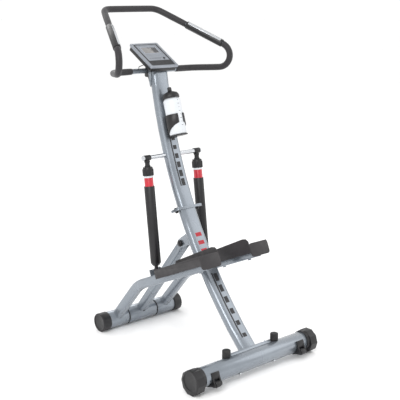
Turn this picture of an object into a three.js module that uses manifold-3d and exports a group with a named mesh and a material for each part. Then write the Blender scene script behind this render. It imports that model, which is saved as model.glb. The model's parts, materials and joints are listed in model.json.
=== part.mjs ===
// Free-standing two-pedal stepper with a handlebar, a console and two shock absorbers.
// Millimetres. +X is the user's right, +Y is forward, +Z is up. Z = 0 is the floor.
import * as THREE from "three";
import { mergeVertices } from "three/addons/utils/BufferGeometryUtils.js";
import Module from "manifold-3d";

const wasm = await Module();
wasm.setup();

// ---------------------------------------------------------------- driving dimensions
const GAP = 0.3; // clearance between pieces that touch
const SINK = 2; // depth that welded shapes reach into each other
const SIDES = [-1, 1]; // left, right

// The rear base tube and the caps on its ends.
const REAR = {
  tubeR: 38, wall: 2.5, axisZ: 54, span: 650,
  capLength: 50, capBody: 36, capWall: 4, capFlat: 47.2, capFacets: 10, collarWall: 2.8,
};
// The saddle that the post stands on the base tube with.
const FOOT = { length: 224, depth: 46, top: 43, boltX: 92.6, boltR: 5 };
// The rubber bumpers under the pedal arms.
const STOP = { x: 130.6, y: 12.4, radius: 16.5, topZ: 121.7 };
// The transport wheels behind the base tube.
const WHEEL = { x: 231.7, radius: 13, width: 24, axleR: 4, lugR: 9, cheek: 6, clear: 1.1, below: 24 };
// The front base: an axle that carries the sleeves of the strut and both pedal arms.
const FRONT = {
  y: 739, axisZ: 41, sleeveR: 38, axleR: 32, wall: 2.5,
  middle: 75.5, spacer: 4, spacerR: 39.5, sleeve: 98, capLength: 42, capWall: 4,
};
// The post: a straight foot, then one long bend.
const POST = {
  width: 80, depth: 40, wall: 2.5, footLean: 46.2, straight: 34, bendR: 1875, jointZ: 587, topZ: 1138,
};
// The bolted joint between the two halves of the post.
const FLANGE = { length: 132, depth: 56, thickness: 5, boltX: 54, boltR: 4.5 };
// The strut from the front base up to the lower post.
const STRUT = {
  width: 38, height: 38, wall: 2.5, standZ: 480, stand: 83, boltR: 5, capR: 14,
  sideGap: 1, sheet: 3, earR: 19, rootHalf: 25, beyond: 18,
};
// The hydraulic cylinders, their crossbar and their knobs.
const SHOCK = {
  x: 132, barZ: 801, barR: 9, barEndR: 11, barEnd: 5.5, bossR: 11.5, bossWidth: 30,
  neckR: 10, knobTop: 37, knobLength: 35, knobR: 23, ringLength: 8, ringR: 19,
  bodyR: 18.5, band: 35, sleeveR: 21.75, sleeveLength: 318, boreR: 14, rodR: 6, stemR: 7,
  eyeR: 9.5, eyeWidth: 14, boltR: 4, along: 151, above: 16,
};
// The pedal arms, each bent once at the knee.
const ARM = {
  x: 132, width: 36, height: 42, wall: 2.5, rise: 23.9, kneeBack: 178, kneeUp: 202, kneeR: 190, length: 486,
};
// The footplates.
const TREAD = {
  width: 100, front: 199, rear: 502, above: 11, sheet: 3, skirt: 32, lip: 6, wallFront: 20,
  wallRear: 30, flange: 50, nose: 7,
};
const TREAD_BOLTS = [265, 429]; // distances behind the knee
// How far the lower cylinder bolt strays in its ear, because the swing and slide follow the pedal in
// proportion.
const SLOT = { forward: 14.2, down: 4.5, room: 1.2 };
// The loop handlebar, its foam and its pulse grips.
const BAR = {
  tubeR: 11, wall: 1.5, foamR: 14, gripR: 16, raise: 1, standOff: 32,
  lowHalf: 213, sideHalf: 358, topHalf: 137,
  back: 304, backRise: 15, ahead: 156, rise: 247, lowR: 69, backR: 51, topR: 46,
  foamStart: 114, gripFrom: 0.389, gripTo: 0.712, plateHalf: 22, plateTurn: 36, plateInset: 9,
};
// The clamp that holds the handlebar at the top of the post.
const CLAMP = { radius: 15.5, half: 36, rear: 15, front: 46, skirt: 26, tail: 62 };
// The console, measured up its own slope.
const CONSOLE = {
  width: 143, length: 170, tilt: 30.7, face: 8, back: 18, inset: 4, reach: 30, lift: 15.8,
  screenWidth: 76, screenLength: 42, screenAt: 117, buttonX: 34.6, buttonY: 59.5, buttonR: 5,
};
// The lead from the console into the handlebar.
const WIRE = { radius: 1.5, leaveX: 50, leaveY: 66, entryX: 76, drop: 7, bendR: 4 };
// The drinks bottle and its cage.
const BOTTLE = {
  radius: 35.5, height: 152, wall: 1.5, neckR: 29, capHeight: 29, spoutR: 8.5, spout: 17,
  behind: 32.5, baseZ: 867, cageHeight: 84,
};

const degrees = THREE.MathUtils.degToRad;
const V = (x, y, z) => new THREE.Vector3(x, y, z);

// ---------------------------------------------------------------- finishes
const FINISH = {
  frame: ["#9aa3ab", 0.38, 0.65],
  plastic: ["#232126", 0.5, 0.0],
  rubber: ["#1c1b1d", 0.85, 0.0],
  foam: ["#323038", 0.9, 0.0],
  tread: ["#4b484b", 0.7, 0.0],
  bright: ["#c9ccd0", 0.25, 0.9],
  chrome: ["#d8dadd", 0.12, 1.0],
  red: ["#be0f2d", 0.35, 0.0],
  white: ["#ebeef2", 0.35, 0.0],
  screen: ["#6f756f", 0.15, 0.0],
  face: ["#9b9da3", 0.45, 0.1],
};

const machine = new THREE.Group();
machine.name = "stepper";

function group(parent, x = 0, y = 0, z = 0, leanDegrees = 0) {
  const made = new THREE.Group();
  made.position.set(x, y, z);
  made.rotation.x = -degrees(leanDegrees);
  parent.add(made);
  return made;
}

function part(parent, name, geometry, finish) {
  const [color, roughness, metalness] = FINISH[finish];
  const material = new THREE.MeshStandardMaterial({ color, roughness, metalness });
  const mesh = new THREE.Mesh(geometry, material);
  mesh.name = name;
  parent.add(mesh);
  return mesh;
}

const sideName = (side) => (side < 0 ? "left" : "right");

// ---------------------------------------------------------------- solids
function weld(geometry) {
  const bare = geometry.clone();
  bare.deleteAttribute("normal");
  bare.deleteAttribute("uv");
  const merged = mergeVertices(bare, 1e-3);
  const corners = merged.index.array;
  const kept = [];
  for (let i = 0; i < corners.length; i += 3) {
    const [a, b, c] = corners.slice(i, i + 3);
    if (a !== b && b !== c && c !== a) kept.push(a, b, c);
  }
  merged.setIndex(kept);
  merged.computeVertexNormals();
  return merged;
}

function toSolid(geometry) {
  const welded = weld(geometry);
  return new wasm.Manifold(
    new wasm.Mesh({
      numProp: 3,
      vertProperties: new Float32Array(welded.attributes.position.array),
      triVerts: new Uint32Array(welded.index.array),
    }),
  );
}

function fromSolid(solid) {
  const mesh = solid.getMesh();
  const geometry = new THREE.BufferGeometry();
  geometry.setAttribute("position", new THREE.BufferAttribute(mesh.vertProperties, 3));
  geometry.setIndex(new THREE.BufferAttribute(mesh.triVerts, 1));
  geometry.computeVertexNormals();
  return geometry;
}

const join = (first, ...others) =>
  fromSolid(others.reduce((sum, next) => sum.add(toSolid(next)), toSolid(first)));
const cut = (first, ...others) =>
  fromSolid(others.reduce((sum, next) => sum.subtract(toSolid(next)), toSolid(first)));

// A profile of [radius, height] pairs turned about the chosen axis, heights running along it.
function turned(profile, axis = "z", sides = 18) {
  const points = profile.map(([radius, height]) => new THREE.Vector2(radius, height));
  const geometry = new THREE.LatheGeometry(points, sides);
  if (axis === "z") geometry.rotateX(Math.PI / 2);
  if (axis === "x") geometry.rotateZ(-Math.PI / 2);
  return weld(geometry);
}

function pin(radius, from, to, axis = "z", sides = 18) {
  return turned([[0, from], [radius, from], [radius, to], [0, to]], axis, sides);
}

// A pin with both rims bevelled.
function stud(radius, from, to, bevel, axis = "z", sides = 24) {
  return turned(
    [
      [0, from],
      [radius - bevel, from],
      [radius, from + bevel],
      [radius, to - bevel],
      [radius - bevel, to],
      [0, to],
    ],
    axis,
    sides,
  );
}

function ring(inner, outer, from, to, axis = "z", sides = 24) {
  return turned(
    [[inner, from], [outer, from], [outer, to], [inner, to], [inner, from]],
    axis,
    sides,
  );
}

// A rounded cap: a flat base at `from`, a dome of the given rise above `to`.
function dome(radius, from, to, rise, axis = "z", sides = 18) {
  const profile = [[0, from], [radius, from], [radius, to]];
  const steps = 3;
  for (let i = 1; i < steps; i++) {
    const angle = ((Math.PI / 2) * i) / steps;
    profile.push([radius * Math.cos(angle), to + rise * Math.sin(angle)]);
  }
  profile.push([0, to + rise]);
  return turned(profile, axis, sides);
}

function slab(width, depth, height, x = 0, y = 0, z = 0) {
  return new THREE.BoxGeometry(width, depth, height).translate(x, y, z);
}

function outline(points) {
  const shape = new THREE.Shape();
  points.forEach(([u, v], i) => (i ? shape.lineTo(u, v) : shape.moveTo(u, v)));
  shape.closePath();
  return shape;
}

function roundedBox(width, height, radius, steps = 4) {
  const points = [];
  const corners = [[1, 1], [-1, 1], [-1, -1], [1, -1]];
  corners.forEach(([su, sv], quarter) => {
    for (let i = 0; i <= steps; i++) {
      const angle = (quarter + i / steps) * (Math.PI / 2);
      points.push([
        su * (width / 2 - radius) + radius * Math.cos(angle),
        sv * (height / 2 - radius) + radius * Math.sin(angle),
      ]);
    }
  });
  return outline(points);
}

// A shape extruded along +Z from z0 to z1.
function raised(shape, z0, z1) {
  const settings = { depth: z1 - z0, bevelEnabled: false, curveSegments: 10 };
  return weld(new THREE.ExtrudeGeometry(shape, settings).translate(0, 0, z0));
}

// A side profile drawn in (y, z) and extruded along X from x0 to x1.
function sidePlate(shape, x0, x1) {
  const turn = new THREE.Matrix4().makeBasis(V(0, 1, 0), V(0, 0, 1), V(1, 0, 0));
  return raised(shape, x0, x1).applyMatrix4(turn);
}

// A path through listed points, one station at each.
class PointPath extends THREE.Curve {
  constructor(points) {
    super();
    this.points = points;
  }
  getPointAt(u, target = new THREE.Vector3()) {
    const last = this.points.length - 1;
    const index = Math.min(Math.floor(u * last + 1e-6), last - 1);
    return target.lerpVectors(this.points[index], this.points[index + 1], u * last - index);
  }
  getPoint(t, target) {
    return this.getPointAt(t, target);
  }
  getTangentAt(u, target = new THREE.Vector3()) {
    const last = this.points.length - 1;
    const index = Math.round(u * last);
    const ahead = this.points[Math.min(index + 1, last)];
    const behind = this.points[Math.max(index - 1, 0)];
    return target.subVectors(ahead, behind).normalize();
  }
}

function swept(shape, points) {
  const settings = { steps: points.length - 1, extrudePath: new PointPath(points) };
  return weld(new THREE.ExtrudeGeometry(shape, { ...settings, bevelEnabled: false }));
}

// Straight runs between corners, each corner rounded to its radius.
function rounded(corners, radii, stepDegrees = 10) {
  const points = [corners[0]];
  for (let i = 1; i < corners.length - 1; i++) {
    const corner = corners[i];
    const back = corners[i - 1].clone().sub(corner).normalize();
    const ahead = corners[i + 1].clone().sub(corner).normalize();
    const half = back.angleTo(ahead) / 2;
    const centre = back.clone().add(ahead).normalize();
    centre.multiplyScalar(radii[i - 1] / Math.sin(half)).add(corner);
    const start = back.multiplyScalar(radii[i - 1] / Math.tan(half)).add(corner).sub(centre);
    const end = ahead.multiplyScalar(radii[i - 1] / Math.tan(half)).add(corner).sub(centre);
    const sweep = start.angleTo(end);
    const steps = Math.ceil(sweep / degrees(stepDegrees));
    for (let k = 0; k <= steps; k++) {
      const a = Math.sin((1 - k / steps) * sweep) / Math.sin(sweep);
      const b = Math.sin((k / steps) * sweep) / Math.sin(sweep);
      const arm = start.clone().multiplyScalar(a).add(end.clone().multiplyScalar(b));
      points.push(arm.add(centre));
    }
  }
  points.push(corners.at(-1));
  return points;
}

function disc(radius, sides = 14) {
  const points = [];
  for (let i = 0; i < sides; i++) {
    const angle = (2 * Math.PI * i) / sides;
    points.push([radius * Math.cos(angle), radius * Math.sin(angle)]);
  }
  return outline(points);
}

function holed(shape, inner) {
  shape.holes.push(inner);
  return shape;
}

const hexHead = (radius, from, to, axis = "z") => pin(radius, from, to, axis, 6);

// The two X positions between `near` and `far` from the middle on one side, smaller first.
const between = (side, near, far) => (side < 0 ? [-far, -near] : [near, far]);

// A round hole whose flats clear a pin of the given radius.
const hole = (radius, from, to, axis = "z", sides = 18) =>
  pin(radius / Math.cos(Math.PI / sides), from, to, axis, sides);

// A pipe whose bore clears a pin of the inner radius.
const pipe = (inner, outer, from, to, axis = "z", sides = 24) =>
  ring(inner / Math.cos(Math.PI / sides), outer, from, to, axis, sides);

const placed = (geometry, y, z, leanDegrees) =>
  geometry.rotateX(-degrees(leanDegrees)).translate(0, y, z);

// A plate drawn in (x, z) and extruded along Y from y0 to y1.
function facePlate(shape, y0, y1) {
  const turn = new THREE.Matrix4().makeBasis(V(1, 0, 0), V(0, 0, 1), V(0, -1, 0));
  return raised(shape, -y1, -y0).applyMatrix4(turn);
}

function arcBand(inner, outer, fromDegrees, toDegrees, steps = 12) {
  const outerArc = [];
  const innerArc = [];
  for (let i = 0; i <= steps; i++) {
    const angle = degrees(fromDegrees + ((toDegrees - fromDegrees) * i) / steps);
    outerArc.push([outer * Math.cos(angle), outer * Math.sin(angle)]);
    innerArc.unshift([inner * Math.cos(angle), inner * Math.sin(angle)]);
  }
  return outline([...outerArc, ...innerArc]);
}

// ---------------------------------------------------------------- the post's centre line
const footSine = Math.sin(degrees(POST.footLean));
const footCosine = Math.cos(degrees(POST.footLean));
const bendStart = { y: POST.straight * footSine, z: REAR.axisZ + POST.straight * footCosine };

const postLean = (z) =>
  THREE.MathUtils.radToDeg(Math.asin(footSine - (z - bendStart.z) / POST.bendR));

const postAt = (z) =>
  V(0, bendStart.y + POST.bendR * (Math.cos(degrees(postLean(z))) - footCosine), z);

// A length of post between two heights, `grow` larger all round.
function postLength(fromZ, toZ, grow = 0, hollow = true) {
  const section = (inset) =>
    roundedBox(
      POST.width + 2 * (grow - inset),
      POST.depth + 2 * (grow - inset),
      POST.depth / 2 + grow - inset - 0.5,
      inset > 0 ? 3 : 5,
    );
  const shape = hollow ? holed(section(0), section(POST.wall)) : section(0);
  const steps = Math.max(2, Math.round((toZ - fromZ) / (hollow ? 75 : 20)));
  const points = [];
  for (let i = 0; i <= steps; i++) points.push(postAt(fromZ + ((toZ - fromZ) * i) / steps));
  return swept(shape, points);
}

// ---------------------------------------------------------------- rear base
const rearAxis = group(machine, 0, 0, REAR.axisZ);
const foot = group(machine, 0, 0, REAR.axisZ, POST.footLean);

function rearBase() {
  const tubeEnd = REAR.span / 2 - REAR.capWall - GAP;
  const tube = pipe(REAR.tubeR - REAR.wall, REAR.tubeR, -tubeEnd, tubeEnd, "x");
  const holes = SIDES.map((side) =>
    hole(FOOT.boltR + GAP, -2 * REAR.tubeR, 2 * REAR.tubeR, "z", 12)
      .translate(side * FOOT.boltX, 0, 0)
      .rotateX(-degrees(POST.footLean)),
  );
  part(rearAxis, "rear_base_tube", cut(tube, ...holes), "frame");
}

function baseBolt(side) {
  const under = -REAR.tubeR - GAP;
  const top = FOOT.top + GAP;
  const bolt = join(
    pin(FOOT.boltR, under - 2, top + 2, "z", 12),
    hexHead(FOOT.boltR * 1.7, top, top + 8),
    hexHead(FOOT.boltR * 1.6, under - 4, under),
  );
  part(foot, `base_bolt_${sideName(side)}`, bolt.translate(side * FOOT.boltX, 0, 0), "bright");
}

function rearCap(side) {
  const drop = REAR.axisZ - REAR.capFlat;
  const corner = REAR.capFlat / Math.cos(Math.PI / REAR.capFacets);
  const points = [];
  for (let i = 0; i < REAR.capFacets; i++) {
    const angle = ((2 * i + 1) * Math.PI) / REAR.capFacets - Math.PI / 2;
    points.push([corner * Math.cos(angle), corner * Math.sin(angle) - drop]);
  }
  const end = REAR.span / 2;
  const [x0, x1] = between(side, end - REAR.capBody, end);
  const [collar0, collar1] = between(side, end - REAR.capLength, end - REAR.capBody + SINK);
  const [bore0, bore1] = between(side, end - REAR.capLength - 1, end - REAR.capWall);
  const [dish0, dish1] = between(side, end - REAR.capWall / 2, end + 1);
  const cap = cut(
    join(
      sidePlate(outline(points), x0, x1),
      pin(REAR.tubeR + REAR.collarWall, collar0, collar1, "x", 24),
    ),
    hole(REAR.tubeR + GAP, bore0, bore1, "x", 24),
    pin(REAR.tubeR - 2, dish0, dish1, "x", 24),
  );
  part(rearAxis, `rear_cap_${sideName(side)}`, cap, "plastic");
}

function bumper(side) {
  const post = stud(STOP.radius, REAR.axisZ, STOP.topZ, 2, "z", 24);
  const seat = hole(REAR.tubeR + GAP, -50, 50, "x", 24).translate(0, -STOP.y, REAR.axisZ);
  const rubber = cut(post, seat).translate(side * STOP.x, STOP.y, 0);
  part(machine, `bumper_${sideName(side)}`, rubber, "rubber");
}

const wheelReach = REAR.tubeR + WHEEL.radius + WHEEL.clear;
const wheelY = -wheelReach * Math.cos(degrees(WHEEL.below));
const wheelZ = -wheelReach * Math.sin(degrees(WHEEL.below));

function wheelBracket(side) {
  const half = WHEEL.width / 2 + 1 + WHEEL.cheek;
  const towardWheel = 180 + WHEEL.below;
  const saddle = arcBand(REAR.tubeR, REAR.tubeR + 4.5, towardWheel - 58, towardWheel + 46);
  const lug = [];
  for (let i = -6; i <= 6; i++) {
    const angle = degrees(towardWheel + i * 15);
    lug.push([wheelY + WHEEL.lugR * Math.cos(angle), wheelZ + WHEEL.lugR * Math.sin(angle)]);
  }
  const root = [40, -40].map((turn) => {
    const angle = degrees(towardWheel + turn);
    return [(REAR.tubeR + 3) * Math.cos(angle), (REAR.tubeR + 3) * Math.sin(angle)];
  });
  const cheek = outline([...lug, ...root]);
  const bracket = cut(
    join(
      sidePlate(saddle, -half, half),
      sidePlate(cheek, -half, -half + WHEEL.cheek),
      sidePlate(cheek, half - WHEEL.cheek, half),
      pin(WHEEL.axleR, -half - 2, half + 2, "x", 12).translate(0, wheelY, wheelZ),
    ),
    hole(REAR.tubeR + GAP, -half - 1, half + 1, "x", 24),
    slab(WHEEL.width + 2, 2 * (WHEEL.radius + 1.5), 2 * (WHEEL.radius + 1.5), 0, wheelY, wheelZ),
    pin(WHEEL.radius + 1.5, WHEEL.cheek - half, half - WHEEL.cheek, "x").translate(0, wheelY, wheelZ),
  );
  bracket.translate(side * WHEEL.x, 0, 0);
  part(rearAxis, `wheel_bracket_${sideName(side)}`, bracket, "plastic");
}

function wheel(side) {
  const half = WHEEL.width / 2;
  const bore = (WHEEL.axleR + GAP) / Math.cos(Math.PI / 24);
  const tyre = turned(
    [
      [bore, -half],
      [WHEEL.radius - 2, -half],
      [WHEEL.radius, -half + 2],
      [WHEEL.radius, half - 2],
      [WHEEL.radius - 2, half],
      [bore, half],
      [bore, -half],
    ],
    "x",
    24,
  );
  const mesh = part(rearAxis, `wheel_${sideName(side)}`, tyre, "plastic");
  mesh.position.set(side * WHEEL.x, wheelY, wheelZ);
}

// ---------------------------------------------------------------- post
function flangePlate(fromHeight) {
  const bore = roundedBox(
    POST.width - 2 * POST.wall,
    POST.depth - 2 * POST.wall,
    POST.depth / 2 - POST.wall - 0.5,
    3,
  );
  const plate = holed(roundedBox(FLANGE.length, FLANGE.depth, 10, 3), bore);
  const holes = SIDES.map((side) =>
    hole(FLANGE.boltR + GAP, fromHeight - 1, fromHeight + FLANGE.thickness + 1, "z", 12).translate(
      side * FLANGE.boltX,
      0,
      0,
    ),
  );
  return cut(raised(plate, fromHeight, fromHeight + FLANGE.thickness), ...holes);
}

const joint = postAt(POST.jointZ);
const jointLean = postLean(POST.jointZ);
const jointFrame = group(machine, 0, joint.y, joint.z, jointLean);
const jointStep = SINK * Math.cos(degrees(jointLean));

const stand = postAt(STRUT.standZ);
const standLean = postLean(STRUT.standZ);
const strutBolt = {
  y: stand.y + STRUT.stand * Math.cos(degrees(standLean)),
  z: stand.z - STRUT.stand * Math.sin(degrees(standLean)),
};

function strutBracket() {
  const outer = STRUT.width / 2 + STRUT.sideGap + STRUT.sheet;
  const root = POST.depth / 2 - SINK;
  const tip = [];
  for (let i = -4; i <= 4; i++) {
    const angle = (i * Math.PI) / 8;
    tip.push([
      STRUT.stand + STRUT.earR * Math.cos(angle),
      STRUT.earR * Math.sin(angle),
    ]);
  }
  const ear = outline([[root, -STRUT.rootHalf], ...tip, [root, STRUT.rootHalf]]);
  const channel = join(
    slab(2 * outer, STRUT.sheet + SINK, 2 * STRUT.rootHalf, 0, root + (STRUT.sheet + SINK) / 2, 0),
    ...SIDES.map((side) => {
      const [x0, x1] = between(side, outer - STRUT.sheet, outer);
      return sidePlate(ear, x0, x1);
    }),
  );
  const bore = hole(STRUT.boltR + GAP, -outer - 1, outer + 1, "x", 16);
  const bracket = cut(channel, bore.translate(0, STRUT.stand, 0));
  return placed(bracket, stand.y, stand.z, standLean);
}

function lowerPost() {
  const saddle = cut(
    raised(roundedBox(FOOT.length, FOOT.depth, 6, 3), REAR.tubeR - 8, FOOT.top),
    hole(REAR.tubeR + GAP, -FOOT.length, FOOT.length, "x", 24),
    ...SIDES.map((side) =>
      hole(FOOT.boltR + GAP, 0, 2 * FOOT.top, "z", 12).translate(side * FOOT.boltX, 0, 0),
    ),
  );
  const startZ = REAR.axisZ + (FOOT.top - SINK) * footCosine;
  const body = join(
    postLength(startZ, POST.jointZ - jointStep),
    placed(saddle, 0, REAR.axisZ, POST.footLean),
    placed(flangePlate(-GAP / 2 - FLANGE.thickness), joint.y, joint.z, jointLean),
    strutBracket(),
  );
  part(machine, "lower_post", body, "frame");
}

const shockBar = postAt(SHOCK.barZ);

function upperPost() {
  const tube = join(
    postLength(POST.jointZ + jointStep, POST.topZ),
    placed(flangePlate(GAP / 2), joint.y, joint.z, jointLean),
  );
  const through = hole(SHOCK.barR + GAP, -POST.width, POST.width, "x", 20);
  part(machine, "upper_post", cut(tube, through.translate(0, shockBar.y, shockBar.z)), "frame");
}

function flangeBolt(side) {
  const face = FLANGE.thickness + GAP / 2 + GAP;
  const nut = dome(FLANGE.boltR * 1.7, 0, 3, 5, "z", 16).rotateX(Math.PI).translate(0, 0, -face);
  const bolt = join(
    pin(FLANGE.boltR, -face - 2, face + 2, "z", 12),
    stud(FLANGE.boltR * 1.8, face, face + 4.5, 1, "z", 16),
    nut,
  );
  bolt.translate(side * FLANGE.boltX, 0, 0);
  part(jointFrame, `flange_bolt_${sideName(side)}`, bolt, "plastic");
}

function shockCrossbar() {
  const end = SHOCK.x + SHOCK.bossWidth / 2 + GAP;
  const bar = join(
    pin(SHOCK.barR, -end - 2, end + 2, "x", 20),
    ...SIDES.map((side) => {
      const [x0, x1] = between(side, end, end + SHOCK.barEnd);
      return stud(SHOCK.barEndR, x0, x1, 1, "x", 20);
    }),
  );
  const mesh = part(machine, "shock_crossbar", bar, "bright");
  mesh.position.copy(shockBar);
}

// ---------------------------------------------------------------- front stabiliser and strut
const frontAxis = group(machine, 0, FRONT.y, FRONT.axisZ);
const strutBack = strutBolt.y - FRONT.y;
const strutRise = strutBolt.z - FRONT.axisZ;
const strutLean = THREE.MathUtils.radToDeg(Math.atan2(strutBack, strutRise));
const strutLength = Math.hypot(strutBack, strutRise);
const sleeveStart = FRONT.middle + 2 * GAP + FRONT.spacer;
const sleeveEnd = sleeveStart + FRONT.sleeve;
const frontEnd = sleeveEnd + GAP + FRONT.capLength;

function frontStrut() {
  const section = holed(
    roundedBox(STRUT.width, STRUT.height, 6, 3),
    roundedBox(STRUT.width - 2 * STRUT.wall, STRUT.height - 2 * STRUT.wall, 4, 3),
  );
  const tube = cut(
    raised(section, FRONT.axleR - SINK, strutLength + STRUT.beyond),
    hole(STRUT.boltR + GAP, -STRUT.width, STRUT.width, "x", 16).translate(0, 0, strutLength),
  );
  const body = cut(
    join(
      pin(FRONT.sleeveR, -FRONT.middle, FRONT.middle, "x", 24),
      tube.rotateX(-degrees(strutLean)),
    ),
    hole(FRONT.axleR + GAP, -FRONT.middle - 1, FRONT.middle + 1, "x", 24),
  );
  part(frontAxis, "front_strut", body, "frame");
}

function strutBoltAndCaps() {
  const face = STRUT.width / 2 + STRUT.sideGap + STRUT.sheet + GAP;
  const cap = () => dome(STRUT.capR, 0, 4, 6, "x", 16);
  const bolt = join(
    pin(STRUT.boltR, -face - 2, face + 2, "x", 16),
    cap().translate(face, 0, 0),
    cap().rotateZ(Math.PI).translate(-face, 0, 0),
  );
  const mesh = part(machine, "strut_bolt", bolt, "plastic");
  mesh.position.set(0, strutBolt.y, strutBolt.z);
}

function frontAxle() {
  const end = frontEnd - FRONT.capWall - GAP;
  const tube = pipe(FRONT.axleR - FRONT.wall, FRONT.axleR, -end, end, "x");
  part(frontAxis, "front_axle", tube, "bright");
}

function spacerRing(side) {
  const [x0, x1] = between(side, FRONT.middle + GAP, FRONT.middle + GAP + FRONT.spacer);
  const spacer = pipe(FRONT.axleR + GAP, FRONT.spacerR, x0, x1, "x");
  part(frontAxis, `spacer_ring_${sideName(side)}`, spacer, "plastic");
}

function frontCap(side) {
  const [x0, x1] = between(side, sleeveEnd + GAP, frontEnd);
  const [bore0, bore1] = between(side, sleeveEnd - 1, frontEnd - FRONT.capWall);
  const [dish0, dish1] = between(side, frontEnd - FRONT.capWall / 2, frontEnd + 1);
  const cap = cut(
    stud(FRONT.axisZ, x0, x1, 1.5, "x", 24),
    hole(FRONT.axleR + GAP, bore0, bore1, "x", 24),
    pin(FRONT.axleR, dish0, dish1, "x", 24),
  );
  part(frontAxis, `front_cap_${sideName(side)}`, cap, "plastic");
}

// ---------------------------------------------------------------- pedals
// The deck frame starts at the arm's knee. Its Y runs forward along the arm's rear length.
const pedalFrames = {};
const deckFrames = {};
for (const side of SIDES) {
  pedalFrames[side] = group(frontAxis);
  deckFrames[side] = group(pedalFrames[side], 0, -ARM.kneeBack, ARM.kneeUp, ARM.rise);
}
const onDeck = (geometry) => placed(geometry, -ARM.kneeBack, ARM.kneeUp, ARM.rise);
const eyeUp = ARM.height / 2 + SHOCK.above;

function shockEar(side) {
  const inner = ARM.width / 2 - 1;
  const [x0, x1] = between(side, ARM.x - inner, ARM.x - inner + STRUT.sheet);
  const root = ARM.height / 2 - SINK;
  const forward = SLOT.forward + SHOCK.eyeR + SLOT.room;
  const crown = [];
  for (let i = 0; i <= 4; i++) {
    const angle = Math.PI / 2 + (i * Math.PI) / 8;
    crown.push([12 * Math.cos(angle) - 2, eyeUp + 12 * Math.sin(angle)]);
  }
  const ear = outline([[-14, root], [forward + 2, root], [forward + 2, eyeUp + 9], ...crown]);
  const room = SHOCK.boltR + SLOT.room;
  const slotLength = Math.hypot(SLOT.forward, SLOT.down);
  const slot = roundedBox(slotLength + 2 * room, 2 * room, room - 0.01, 4);
  const opening = raised(slot, -ARM.width, ARM.width)
    .rotateZ(-Math.atan2(SLOT.down, SLOT.forward))
    .translate(SLOT.forward / 2, eyeUp - SLOT.down / 2, 0);
  const turn = new THREE.Matrix4().makeBasis(V(0, 1, 0), V(0, 0, 1), V(1, 0, 0));
  opening.applyMatrix4(turn).translate(side * ARM.x, 0, 0);
  const [web0, web1] = between(side, ARM.x - inner, ARM.x + inner);
  const web = outline([
    [forward, root],
    [forward + STRUT.sheet, root],
    [forward + STRUT.sheet, eyeUp + 8],
    [forward, eyeUp + 8],
  ]);
  const bracket = join(cut(sidePlate(ear, x0, x1), opening), sidePlate(web, web0, web1));
  return bracket.translate(0, -SHOCK.along, 0);
}

function pedalArm(side) {
  const section = holed(
    roundedBox(ARM.width, ARM.height, 9, 3),
    roundedBox(ARM.width - 2 * ARM.wall, ARM.height - 2 * ARM.wall, 7, 3),
  );
  const knee = V(0, -ARM.kneeBack, ARM.kneeUp);
  const start = knee.clone().setLength(FRONT.axleR - SINK);
  const rise = degrees(ARM.rise);
  const end = V(0, -Math.cos(rise), Math.sin(rise)).multiplyScalar(ARM.length).add(knee);
  const beam = swept(section, rounded([start, knee, end], [ARM.kneeR], 6));
  const [sleeve0, sleeve1] = between(side, sleeveStart, sleeveEnd);
  const [bore0, bore1] = between(side, sleeveStart - 1, sleeveEnd + 1);
  const heads = TREAD_BOLTS.map((along) =>
    hexHead(7, -ARM.height / 2 - 5, SINK - ARM.height / 2).translate(side * ARM.x, -along, 0),
  );
  const body = cut(
    join(
      pin(FRONT.sleeveR, sleeve0, sleeve1, "x", 24),
      beam.translate(side * ARM.x, 0, 0),
      onDeck(shockEar(side)),
      ...heads.map(onDeck),
    ),
    hole(FRONT.axleR + GAP, bore0, bore1, "x", 24),
  );
  part(pedalFrames[side], `pedal_arm_${sideName(side)}`, body, "frame");
}

function footplate(side) {
  const top = ARM.height / 2 + TREAD.above;
  const under = top - TREAD.sheet;
  const middle = -(TREAD.front + TREAD.rear) / 2;
  const length = TREAD.rear - TREAD.front;
  const near = ARM.x - TREAD.width / 2;
  const far = ARM.x + TREAD.width / 2;
  const [inner0, inner1] = between(side, near, near + TREAD.sheet);
  const [outer0, outer1] = between(side, far - TREAD.sheet, far);
  const innerWall = outline([
    [-TREAD.rear, top - TREAD.skirt],
    [-TREAD.front, top - TREAD.skirt],
    [-TREAD.front, top],
    [-TREAD.front - 18, top + 3],
    [-TREAD.front - 34, top + TREAD.wallFront],
    [-TREAD.rear + 30, top + TREAD.wallRear],
    [-TREAD.rear + 10, top + TREAD.wallRear - 4],
    [-TREAD.rear, top + TREAD.wallRear - 16],
  ]);
  const outerWall = outline([
    [-TREAD.rear, top - TREAD.skirt],
    [-TREAD.front, top - TREAD.skirt],
    [-TREAD.front, top],
    [-TREAD.front - 12, top + TREAD.lip],
    [-TREAD.rear, top + TREAD.lip],
  ]);
  const rearPlate = roundedBox(TREAD.width, TREAD.flange + TREAD.lip, 12, 3);
  const rearMiddle = top + (TREAD.lip - TREAD.flange) / 2;
  const nose = slab(TREAD.width, TREAD.sheet, TREAD.nose);
  const bosses = TREAD_BOLTS.map((along) =>
    pin(9, ARM.height / 2 + GAP, top - 1, "z", 16).translate(side * ARM.x, -along, 0),
  );
  const tray = join(
    slab(TREAD.width, length, TREAD.sheet, side * ARM.x, middle, top - TREAD.sheet / 2),
    sidePlate(innerWall, inner0, inner1),
    sidePlate(outerWall, outer0, outer1),
    facePlate(rearPlate, -TREAD.rear - TREAD.sheet, -TREAD.rear + 0.5).translate(
      side * ARM.x,
      0,
      rearMiddle,
    ),
    nose.translate(side * ARM.x, -TREAD.front - TREAD.sheet / 2, under - TREAD.nose / 2 + 1),
    ...bosses,
  );
  part(deckFrames[side], `footplate_${sideName(side)}`, tray, "tread");
}

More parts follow.
